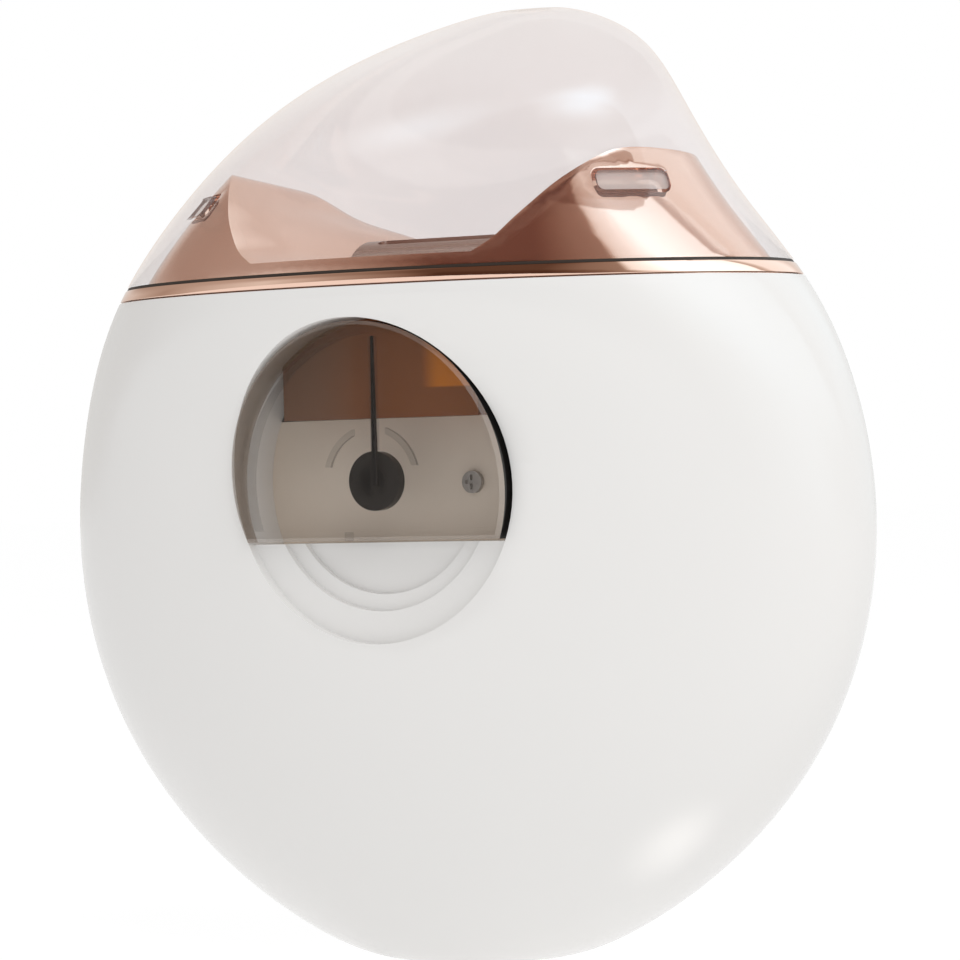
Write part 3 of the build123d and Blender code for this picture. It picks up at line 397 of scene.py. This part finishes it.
def fade_back(material, alpha):
    """Leave a material solid from outside and give it this alpha from inside."""
    tree = material.node_tree
    geometry = tree.nodes.new("ShaderNodeNewGeometry")
    cover = map_range(tree, geometry.outputs["Backfacing"], 0.0, 1.0, 1.0, alpha)
    tree.links.new(cover, shader_of(material).inputs["Alpha"])


def axis_share(tree, axis, start, end):
    """Goes from 0 to 1 along an axis, between two places given in millimetres."""
    place = tree.nodes.new("ShaderNodeTexCoord")
    axes = tree.nodes.new("ShaderNodeSeparateXYZ")
    tree.links.new(place.outputs["Object"], axes.inputs["Vector"])
    return map_range(tree, axes.outputs[axis], start * millimetre, end * millimetre, smooth=True)


def paint_chute_light_and_shade(material, drift, painted_shade, painted_light):
    """Paint shade on the chute's left part, and painted amber light in its upper right, where light shines
    through.
    """
    tree = material.node_tree
    # Painted shade on the left that fades out towards the right, then a patch of painted amber light
    with_painted_shade = mix_colours(tree, axis_share(tree, "X", *painted_shade_fade), painted_shade, drift)
    across = axis_share(tree, "X", *painted_light_across)
    above = axis_share(tree, "Z", *painted_light_above)
    with_painted_light = mix_colours(tree, math_node(tree, "MULTIPLY", across, above), with_painted_shade, painted_light)
    tree.links.new(with_painted_light, shader_of(material).inputs["Base Color"])


def shade(colour, factor):
    """A lighter or darker version of a colour."""
    return tuple(min(1.0, channel * factor) for channel in colour)


def coat_nodes(material, *nodes):
    """Give CAD nodes a material; their shapes stay as they are."""
    for node in nodes:
        piece = frame["nodes"][node]
        piece.data.materials.clear()
        piece.data.materials.append(material)


def body_of(node):
    """The body that a CAD node rides on."""
    for body, nodes in frame["record"]["behaviour"]["bodies"].items():
        if node in nodes:
            return body
    raise RuntimeError(f"{node} rides on no body")


def finish_copy(node, materials, choose=None, edge_round=0.0):
    """A merged, smooth copy of a CAD node that stands for it; choose gives a face its material's number."""
    sizes = bpy.context.scene.clipper_sizes
    select_only(frame["nodes"][node])
    bpy.ops.object.duplicate()
    piece = bpy.context.active_object
    piece.name = f"{node}_finish"
    for key in list(piece.keys()):
        del piece[key]
    piece.parent = None
    select_only(piece)
    bpy.ops.mesh.customdata_custom_splitnormals_clear()
    bpy.ops.object.mode_set(mode="EDIT")
    bpy.ops.mesh.select_all(action="SELECT")
    bpy.ops.mesh.remove_doubles(threshold=sizes.merge_distance)
    bpy.ops.object.mode_set(mode="OBJECT")
    piece.data.materials.clear()
    for material in materials:
        piece.data.materials.append(material)
    for face in piece.data.polygons:
        face.material_index = choose(face.center, face.normal) if choose else 0
    if edge_round:
        rounding = piece.modifiers.new("Rounding", "BEVEL")
        rounding.width = edge_round
        rounding.segments = round_segments
        rounding.limit_method = "ANGLE"
        rounding.angle_limit = sizes.smooth_angle
        rounding.use_clamp_overlap = True
        bpy.ops.object.modifier_apply(modifier=rounding.name)
    bpy.ops.object.shade_smooth_by_angle(angle=sizes.smooth_angle)
    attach(piece, body_of(node))
    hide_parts(node)


class CLIPPER_OT_shells(bpy.types.Operator):
    """Gloss white shells and button"""

    bl_idname = "clipper.shells"
    bl_label = "Shells"

    def execute(self, context):
        white = context.scene.clipper_finishes.shell_white
        gloss = base_material("Gloss White", white, roughness=0.2, Specular_Tint=(*warm_glint, 1))
        add_tone(gloss, white, shade(white, 0.985), scale=25)
        add_haze(gloss, low=0.16, high=0.24, scale=40)
        add_grain(gloss, scale=900, depth=0.002 * millimetre)
        coat_nodes(gloss, "front_shell", "power_button")
        finish_copy("rear_shell", [gloss], edge_round=context.scene.clipper_sizes.edge_round)
        return {"FINISHED"}


class CLIPPER_OT_plating(bpy.types.Operator):
    """Rose-gold ring, head trim and button bezel, and the seal on the ring, painted black as the dark
    shadow gap between ring and cap
    """

    bl_idname = "clipper.plating"
    bl_label = "Plating"

    def execute(self, context):
        finishes = context.scene.clipper_finishes
        rose = finishes.rose_gold
        edge = context.scene.clipper_sizes.edge_round
        plating = base_material("Rose Gold Plating", rose, roughness=0.05, metallic=1.0)
        add_tone(plating, rose, shade(rose, 0.96), scale=60)
        add_haze(plating, low=0.03, high=0.07, scale=80)
        coat_nodes(plating, "button_bezel")
        finish_copy("trim_ring", [plating], edge_round=edge)
        finish_copy("head_trim", [plating], edge_round=edge)
        tint = (*warm_glint, 1)
        # The seal is painted black as the dark shadow gap between ring and cap
        painted_gap_shadow = base_material("Seal Painted Shadow", finishes.seal_painted_shadow, roughness=0.6, Specular_Tint=tint)
        add_haze(painted_gap_shadow, low=0.5, high=0.7, scale=300)
        coat_nodes(painted_gap_shadow, "cap_seal")
        return {"FINISHED"}


class CLIPPER_OT_cap(bpy.types.Operator):
    """Clear cap with a faint pink tint and its two latch lugs, with painted light on their faces and
    painted shade round their sides, and the clear light pipe
    """

    bl_idname = "clipper.cap"
    bl_label = "Cap"

    def execute(self, context):
        finishes = context.scene.clipper_finishes
        clear = base_material("Clear Cap", finishes.cap_tint, roughness=0.1, Alpha=0.13)
        add_haze(clear, low=0.08, high=0.15, scale=50)
        lay_gloss(clear, least=0.06)
        coat_nodes(clear, "light_pipe")
        inner = base_material("Cap Inner Face", finishes.cap_tint, roughness=0.1, Alpha=0.012)
        add_haze(inner, low=0.08, high=0.15, scale=50)
        # The clear lugs get painted light on their faces and painted shade round their sides
        lug_face_painted_light = base_material("Lug Face Painted Light", finishes.lug_painted_light, roughness=0.1, Alpha=0.75)
        add_haze(lug_face_painted_light, low=0.06, high=0.16, scale=300)
        lug_side_painted_shade = base_material("Lug Side Painted Shade", shade(finishes.cap_tint, 0.2), roughness=0.1, Alpha=0.85)
        add_haze(lug_side_painted_shade, low=0.06, high=0.16, scale=300)
        materials = [clear, inner, lug_face_painted_light, lug_side_painted_shade]

        def cap_part(centre, normal):
            side = 1 if centre.x > 0 else -1
            outward = Vector((side * sin(lug_turn), -cos(lug_turn), 0))
            along = Vector((cos(lug_turn), side * sin(lug_turn), 0))
            offset = centre - Vector((side * lug_place.x, lug_place.y, lug_place.z))
            facing = normal.dot(outward)
            past_height = abs(offset.z) - lug_half_height
            past_width = abs(offset.dot(along)) - lug_half_width
            past_lug = max(past_height, past_width)
            if abs(offset.dot(outward)) < lug_depth and past_lug < lug_margin:
                if facing < -lug_facing and past_lug < -lug_margin:
                    return materials.index(lug_face_painted_light)
                if abs(facing) < lug_facing:
                    return materials.index(lug_side_painted_shade)
            return materials.index(clear if normal.dot(centre - cap_middle) > 0 else inner)

        finish_copy("clear_cap", materials, cap_part)
        return {"FINISHED"}


class CLIPPER_OT_door(bpy.types.Operator):
    """Smoked waste door with a painted highlight on its edge, painted shade and painted light on its walls,
    its marks, and its fin, its hub and other black pieces
    """

    bl_idname = "clipper.door"
    bl_label = "Waste door"

    def execute(self, context):
        finishes = context.scene.clipper_finishes
        smoke = base_material("Smoked Lens", finishes.smoke_tint, roughness=0.1, Alpha=0.12)
        add_haze(smoke, low=0.06, high=0.14, scale=90)
        lay_gloss(smoke, least=0.006)
        # The door's wall is painted nearly black on its right half: painted shade for the dark shadow gap
        # there
        right_painted_shade = base_material("Door Wall Painted Shade", shade(finishes.smoke_tint, 0.08), roughness=0.12)
        add_haze(right_painted_shade, low=0.08, high=0.18, scale=90)
        fade_back(right_painted_shade, alpha=0.08)
        # Painted highlight along the door's chamfer
        edge = base_material("Door Edge Painted Highlight", finishes.door_edge_painted_highlight, roughness=0.1, Alpha=0.2)
        add_haze(edge, low=0.06, high=0.14, scale=90)
        marks = base_material("Door Marks", shade(finishes.smoke_tint, 0.6), roughness=0.3, Alpha=0.28)
        add_haze(marks, low=0.2, high=0.4, scale=90)
        # Painted light: the left half of the door's wall is painted a lighter brown
        left_painted_light = base_material("Door Left Wall Painted Light", finishes.left_wall_painted_light, roughness=0.1, Alpha=0.6)
        add_haze(left_painted_light, low=0.06, high=0.14, scale=90)
        materials = [smoke, right_painted_shade, edge, marks, left_painted_light]
        low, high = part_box("waste_door")
        radius = (high.x - low.x) / 2
        middle = high.z - radius

        def door_part(centre, normal):
            reach = hypot(centre.x, centre.z - middle)
            # Wall faces get painted shade on the right half and painted light on the left half
            if abs(normal.y) < wall_slope and reach > radius - wall_band:
                return materials.index(right_painted_shade if centre.x > 0 else left_painted_light)
            # The chamfer between wall and lens gets the painted highlight
            if -lens_slope < normal.y < -wall_slope:
                return materials.index(edge)
            if abs(reach - arch_reach) < arch_band and centre.z > middle and centre.y > lens_back:
                return materials.index(marks)
            return materials.index(smoke)

        finish_copy("waste_door", materials, door_part)
        black = base_material("Black Gloss", finishes.black_gloss, roughness=0.25, Specular_IOR_Level=0.15)
        add_haze(black, low=0.12, high=0.25, scale=200)
        coat_nodes(black, "door_hub", "tact_switch", "socket_tongue")
        finish_copy("door_fin", [black], edge_round=context.scene.clipper_sizes.fin_round)
        return {"FINISHED"}


class CLIPPER_OT_chamber(bpy.types.Operator):
    """Chute and back panel of the waste chamber"""

    bl_idname = "clipper.chamber"
    bl_label = "Waste chamber"

    def execute(self, context):
        finishes = context.scene.clipper_finishes
        brown = finishes.chute_copper
        copper = base_material("Copper Plastic", brown, roughness=0.35, Specular_IOR_Level=0.12)
        drift = add_tone(copper, brown, shade(brown, 1.3), scale=60)
        # Painted shade on the chute's left part and painted amber light in its upper right
        paint_chute_light_and_shade(copper, drift, finishes.chute_painted_shade, finishes.chute_painted_light)
        add_haze(copper, low=0.28, high=0.42, scale=150)
        coat_nodes(copper, "nail_chute")
        beige = base_material("Beige Plastic", finishes.panel_beige, roughness=0.5)
        add_tone(beige, finishes.panel_beige, shade(finishes.panel_beige, 0.94), scale=90)
        add_haze(beige, low=0.45, high=0.6, scale=150)
        coat_nodes(beige, "chamber_panel")
        return {"FINISHED"}


class CLIPPER_OT_cutter(bpy.types.Operator):
    """Steel guard, drum, shafts, motor can, screws and clips, and bronze bushes and pinion"""

    bl_idname = "clipper.cutter"
    bl_label = "Cutter"

    def execute(self, context):
        finishes = context.scene.clipper_finishes
        steel = finishes.guard_steel
        along = (0.06, 1, 1)
        brushed = base_material("Brushed Steel", steel, roughness=0.3, metallic=1.0)
        add_tone(brushed, steel, shade(steel, 0.85), scale=900, stretch=along)
        add_haze(brushed, low=0.22, high=0.4, scale=900, stretch=along)
        add_grain(brushed, scale=1800, depth=0.004 * millimetre, stretch=along)
        coat_nodes(brushed, "cutter_guard")
        ground = base_material("Ground Steel", finishes.ground_steel, roughness=0.28, metallic=1.0)
        add_haze(ground, low=0.2, high=0.38, scale=700, stretch=(1, 0.1, 0.1))
        coat_nodes(ground, "cutter_drum", "drum_shaft", "idler_pin", "motor_shaft", "motor_can")
        dark = base_material("Screw Steel", finishes.screw_steel, roughness=0.3, metallic=1.0)
        add_haze(dark, low=0.28, high=0.45, scale=900)
        coat_nodes(
            dark, "head_screws", "deck_screws", "guard_screws", "motor_screws", "board_screws",
            "chamber_screw", "idler_clip", "shaft_clip",
        )
        bronze = base_material("Bronze", finishes.bronze, roughness=0.3, metallic=1.0)
        add_haze(bronze, low=0.25, high=0.4, scale=600)
        coat_nodes(bronze, "drum_bushes", "motor_pinion")
        return {"FINISHED"}


class CLIPPER_OT_inside(bpy.types.Operator):
    """Frame, gears, board, socket, battery and leads inside the shells"""

    bl_idname = "clipper.inside"
    bl_label = "Inside"

    def execute(self, context):
        finishes = context.scene.clipper_finishes
        nylon = base_material("White Nylon", finishes.white_nylon, roughness=0.45)
        add_haze(nylon, low=0.4, high=0.55, scale=300)
        coat_nodes(nylon, "drum_gear", "idler_gear", "idler_spacer", "switch_plunger", "status_led")
        grey = base_material("Grey Nylon", finishes.grey_nylon, roughness=0.5)
        add_haze(grey, low=0.45, high=0.6, scale=300)
        add_grain(grey, scale=2500, depth=0.006 * millimetre)
        coat_nodes(grey, "head_frame", "motor_cap", "battery_pad")
        mask = base_material("Solder Resist", finishes.solder_resist, roughness=0.3)
        add_tone(mask, finishes.solder_resist, finishes.solder_light, scale=500)
        add_haze(mask, low=0.25, high=0.35, scale=300)
        coat_nodes(mask, "circuit_board")
        foil = base_material("Cell Foil", finishes.cell_foil, roughness=0.35, metallic=1.0)
        add_haze(foil, low=0.3, high=0.45, scale=200)
        add_grain(foil, scale=250, depth=0.03 * millimetre)
        coat_nodes(foil, "battery")
        tin = base_material("Plated Tin", finishes.plated_tin, roughness=0.2, metallic=1.0)
        add_haze(tin, low=0.15, high=0.3, scale=400)
        coat_nodes(tin, "socket_shell")
        red = base_material("Red Sleeve", finishes.red_sleeve, roughness=0.4)
        add_haze(red, low=0.35, high=0.5, scale=500)
        coat_nodes(red, "motor_leads")
        black = base_material("Black Sleeve", finishes.black_sleeve, roughness=0.4)
        add_haze(black, low=0.35, high=0.5, scale=500)
        coat_nodes(black, "battery_leads")
        return {"FINISHED"}


def add_camera(settings):
    """A camera at the photograph's viewing angle."""
    camera_data = bpy.data.cameras.new("Camera")
    camera = bpy.data.objects.new("Camera", camera_data)
    bpy.context.scene.collection.objects.link(camera)
    turn = settings.camera_turn
    reach = settings.camera_distance
    camera.location = (reach * sin(turn), -reach * cos(turn), settings.camera_height)
    camera.rotation_mode = "XYZ"
    camera.rotation_euler = (radians(90), 0, turn)
    bpy.context.view_layer.update()
    camera.rotation_mode = "QUATERNION"
    view_axis = camera.matrix_world.to_3x3() @ Vector((0, 0, 1))
    camera.rotation_quaternion = Quaternion(view_axis, settings.camera_roll) @ camera.rotation_quaternion
    camera_data.lens = settings.focal_length
    camera_data.sensor_width = sensor_width
    camera_data.shift_x, camera_data.shift_y = camera_shift
    camera_data.clip_start = nearest_view
    bpy.context.scene.camera = camera


def add_softbox(power):
    """A square lamp on the right that lights the clipper; its reflection is the world's bright wall."""
    lamp_data = bpy.data.lights.new("Softbox", "AREA")
    lamp_data.size = softbox_width
    lamp_data.energy = power
    lamp = bpy.data.objects.new("Softbox", lamp_data)
    bpy.context.scene.collection.objects.link(lamp)
    lamp.location = softbox_place
    lamp.rotation_euler = (softbox_target - softbox_place).to_track_quat("-Z", "Y").to_euler()
    lamp.visible_glossy = False


def wall_ramp(tree, turn, walls):
    """The brightness of the walls over the azimuth, as a grey."""
    ramp = tree.nodes.new("ShaderNodeValToRGB")
    stops = ramp.color_ramp.elements
    while len(stops) < len(walls):
        stops.new(0.5)
    for stop, (azimuth, level) in zip(stops, walls):
        stop.position = (azimuth + 180) / 360
        stop.color = (level, level, level, 1)
    tree.links.new(turn, ramp.inputs["Fac"])
    return ramp.outputs["Color"]


def make_world(fill_level):
    """White behind the clipper, even light on it, and studio walls for its reflections."""
    world = bpy.data.worlds.new("Studio")
    world.use_nodes = True
    bpy.context.scene.world = world
    tree = world.node_tree
    nodes, links = tree.nodes, tree.links
    rays = nodes.new("ShaderNodeLightPath").outputs
    direction = nodes.new("ShaderNodeTexCoord").outputs["Generated"]
    axes = nodes.new("ShaderNodeSeparateXYZ")
    links.new(direction, axes.inputs["Vector"])
    forward = math_node(tree, "MULTIPLY", axes.outputs["Y"], -1.0)
    azimuth = math_node(tree, "ARCTAN2", axes.outputs["X"], forward)
    turn = math_node(tree, "MULTIPLY_ADD", azimuth, 0.5 / pi, 0.5)
    low = wall_ramp(tree, turn, low_walls)
    high = wall_ramp(tree, turn, high_walls)
    walls = mix_colours(tree, map_range(tree, axes.outputs["Z"], *walls_change), low, high)
    ceiling = math_node(tree, "GREATER_THAN", axes.outputs["Z"], ceiling_start)
    dimmed = math_node(tree, "MULTIPLY_ADD", ceiling, -ceiling_dimming, 1.0)
    level = math_node(tree, "MULTIPLY", walls, dimmed)
    for centre, radius, strength in overhead_cards:
        level = math_node(tree, "ADD", level, soft_spot(tree, direction, centre, radius, strength))
    cast = nodes.new("ShaderNodeCombineColor")
    links.new(level, cast.inputs["Red"])
    for channel, gain, power in level_cast:
        raised = math_node(tree, "POWER", level, power)
        links.new(math_node(tree, "MULTIPLY", raised, gain), cast.inputs[channel])
    fill = (fill_level, fill_level, fill_level)
    lit = mix_colours(tree, clear_rays(tree, rays), fill, cast.outputs["Color"])
    seen = mix_colours(tree, rays["Is Camera Ray"], lit, (1, 1, 1))
    links.new(seen, nodes["Background"].inputs["Color"])


def add_floor(colour):
    """A pale floor that keeps the clipper's shadow, white to the camera, with a glowing spot that paints a
    highlight on the belly.
    """
    bpy.ops.mesh.primitive_plane_add(size=floor_width, location=(0, 0, 0))
    floor = bpy.context.active_object
    floor.name = "Floor"
    material = base_material("Pale Floor", colour, roughness=0.9, Specular_IOR_Level=0.1)
    tree = material.node_tree
    rays = tree.nodes.new("ShaderNodeLightPath").outputs
    place = tree.nodes.new("ShaderNodeTexCoord").outputs["Object"]
    # A glowing spot, seen only in reflections, that paints a highlight on the belly
    spot = soft_spot(tree, place, spot_place, spot_radius, spot_strength)
    mirrored_spot = math_node(tree, "MULTIPLY", spot, rays["Is Glossy Ray"])
    glow = tree.nodes.new("ShaderNodeEmission")
    tree.links.new(math_node(tree, "ADD", mirrored_spot, floor_glow), glow.inputs["Strength"])
    clean = math_node(tree, "MAXIMUM", clear_rays(tree, rays), rays["Is Camera Ray"])
    share = math_node(tree, "MULTIPLY_ADD", clean, clean_share, glow_share)
    blend_surfaces(material, share, glow.outputs["Emission"])
    floor.data.materials.append(material)


class CLIPPER_OT_stage(bpy.types.Operator):
    """Camera, floor, world and softbox"""

    bl_idname = "clipper.stage"
    bl_label = "Stage"

    def execute(self, context):
        settings = context.scene.studio_settings
        add_camera(settings)
        add_floor(context.scene.clipper_finishes.floor_pale)
        make_world(settings.fill_level)
        add_softbox(settings.softbox_power)
        context.scene.view_settings.view_transform = "Standard"
        return {"FINISHED"}


class CLIPPER_PT_panel(bpy.types.Panel):
    """Lists the settings, the pieces and the stage in the sidebar"""

    bl_idname = "CLIPPER_PT_panel"
    bl_label = "Nail Clipper"
    bl_space_type = "VIEW_3D"
    bl_region_type = "UI"
    bl_category = "Nail Clipper"

    def draw(self, context):
        layout = self.layout
        for group in property_groups:
            settings = getattr(context.scene, group)
            for name in settings.__annotations__:
                layout.prop(settings, name)
        for operator in operators:
            layout.operator(operator.bl_idname)


operators = (
    CLIPPER_OT_stage,
    CLIPPER_OT_shells,
    CLIPPER_OT_plating,
    CLIPPER_OT_cap,
    CLIPPER_OT_door,
    CLIPPER_OT_chamber,
    CLIPPER_OT_cutter,
    CLIPPER_OT_inside,
)
property_groups = {
    "clipper_finishes": ClipperFinishes,
    "clipper_sizes": ClipperSizes,
    "studio_settings": StudioSettings,
}


def register():
    for name, group in property_groups.items():
        bpy.utils.register_class(group)
        setattr(bpy.types.Scene, name, bpy.props.PointerProperty(type=group))
    for item in (*operators, CLIPPER_PT_panel):
        bpy.utils.register_class(item)


def unregister():
    for item in reversed((*operators, CLIPPER_PT_panel)):
        bpy.utils.unregister_class(item)
    for name, group in property_groups.items():
        delattr(bpy.types.Scene, name)
        bpy.utils.unregister_class(group)


def main():
    register()
    bpy.ops.clipper.stage()
    bpy.ops.clipper.shells()
    bpy.ops.clipper.plating()
    bpy.ops.clipper.cap()
    bpy.ops.clipper.door()
    bpy.ops.clipper.chamber()
    bpy.ops.clipper.cutter()
    bpy.ops.clipper.inside()
    bpy.context.view_layer.update()


if __name__ == "__main__":
    main()
